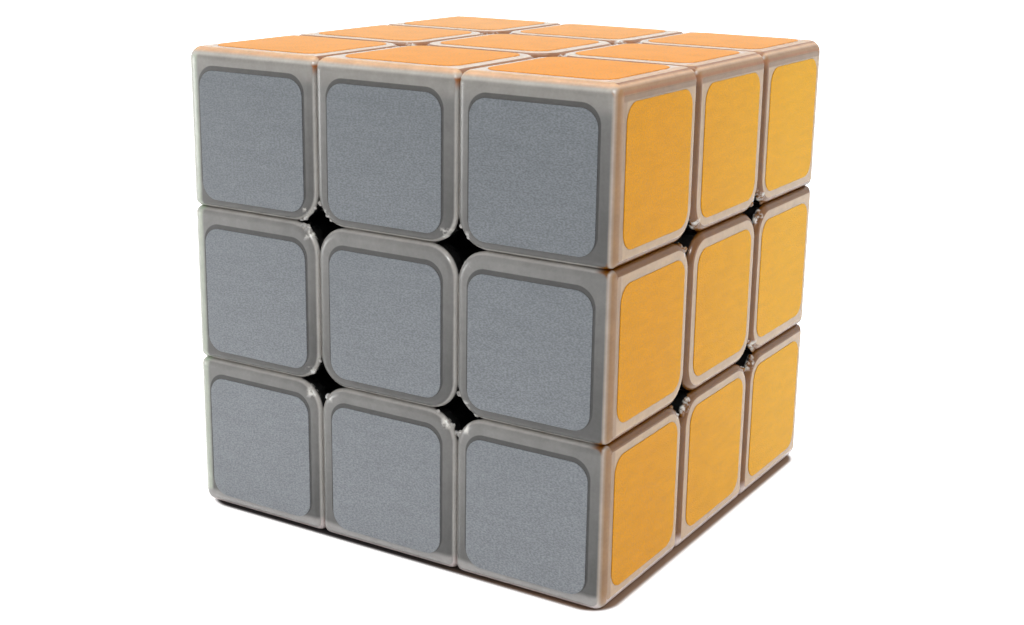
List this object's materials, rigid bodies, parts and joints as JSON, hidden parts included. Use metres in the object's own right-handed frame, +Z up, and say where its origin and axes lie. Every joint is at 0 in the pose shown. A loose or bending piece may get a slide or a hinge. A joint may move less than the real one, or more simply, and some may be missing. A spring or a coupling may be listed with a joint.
{
  "type": "twisty cube puzzle",
  "caption": "Cube puzzle of equal layers in frosted plastic over a black mechanism, with rounded coloured stickers; its top and bottom layers turn.",
  "frame": {"origin": "middle of the bottom face, on the surface that the cube stands on", "axes": "+X towards the gold face, -Y towards the silver face, +Z up towards the orange face"},
  "size_m": [0.057, 0.057, 0.057],
  "materials": {
    "frosted_plastic": "milky translucent, satin",
    "black_plastic": "satin black",
    "core_plastic": "satin black",
    "spring_steel": "drawn wire",
    "screw_steel": "turned",
    "sticker_silver": "fine-grained silver grey film",
    "sticker_gold": "fine-grained yellow gold film",
    "sticker_orange": "fine-grained orange film",
    "sticker_green": "fine-grained green film",
    "sticker_red": "fine-grained red film",
    "sticker_blue": "fine-grained blue film"
  },
  "bodies": {
    "middle_layer": {"core_with_screws": "core_plastic", "spring_right": "spring_steel", "spring_left": "spring_steel", "spring_back": "spring_steel", "spring_front": "spring_steel", "spring_top": "spring_steel", "spring_bottom": "spring_steel", "centre_cap_right": "frosted_plastic", "centre_cap_left": "frosted_plastic", "centre_cap_back": "frosted_plastic", "centre_cap_front": "frosted_plastic", "edge_shell_front_left": "frosted_plastic", "edge_shell_front_right": "frosted_plastic", "edge_shell_back_left": "frosted_plastic", "edge_shell_back_right": "frosted_plastic", "centre_base_right": "black_plastic", "centre_base_left": "black_plastic", "centre_base_back": "black_plastic", "centre_base_front": "black_plastic", "edge_foot_front_left": "black_plastic", "edge_foot_front_right": "black_plastic", "edge_foot_back_left": "black_plastic", "edge_foot_back_right": "black_plastic"},
    "top_layer": {"centre_cap_top": "frosted_plastic", "edge_shell_top_front": "frosted_plastic", "edge_shell_top_back": "frosted_plastic", "edge_shell_top_left": "frosted_plastic", "edge_shell_top_right": "frosted_plastic", "corner_shell_top_front_left": "frosted_plastic", "corner_shell_top_front_right": "frosted_plastic", "corner_shell_top_back_left": "frosted_plastic", "corner_shell_top_back_right": "frosted_plastic", "centre_base_top": "black_plastic", "edge_foot_top_front": "black_plastic", "edge_foot_top_back": "black_plastic", "edge_foot_top_left": "black_plastic", "edge_foot_top_right": "black_plastic", "corner_foot_top_front_left": "black_plastic", "corner_foot_top_front_right": "black_plastic", "corner_foot_top_back_left": "black_plastic", "corner_foot_top_back_right": "black_plastic"},
    "bottom_layer": {"centre_cap_bottom": "frosted_plastic", "edge_shell_bottom_front": "frosted_plastic", "edge_shell_bottom_back": "frosted_plastic", "edge_shell_bottom_left": "frosted_plastic", "edge_shell_bottom_right": "frosted_plastic", "corner_shell_bottom_front_left": "frosted_plastic", "corner_shell_bottom_front_right": "frosted_plastic", "corner_shell_bottom_back_left": "frosted_plastic", "corner_shell_bottom_back_right": "frosted_plastic", "centre_base_bottom": "black_plastic", "edge_foot_bottom_front": "black_plastic", "edge_foot_bottom_back": "black_plastic", "edge_foot_bottom_left": "black_plastic", "edge_foot_bottom_right": "black_plastic", "corner_foot_bottom_front_left": "black_plastic", "corner_foot_bottom_front_right": "black_plastic", "corner_foot_bottom_back_left": "black_plastic", "corner_foot_bottom_back_right": "black_plastic"}
  },
  "joints": [
    {"name": "top_layer_turn", "type": "hinge", "parent": "middle_layer", "child": "top_layer", "pos_m": [0, 0, 0.0285], "axis": [0, 0, 1], "continuous": true},
    {"name": "bottom_layer_turn", "type": "hinge", "parent": "middle_layer", "child": "bottom_layer", "pos_m": [0, 0, 0.0285], "axis": [0, 0, -1], "continuous": true}
  ]
}
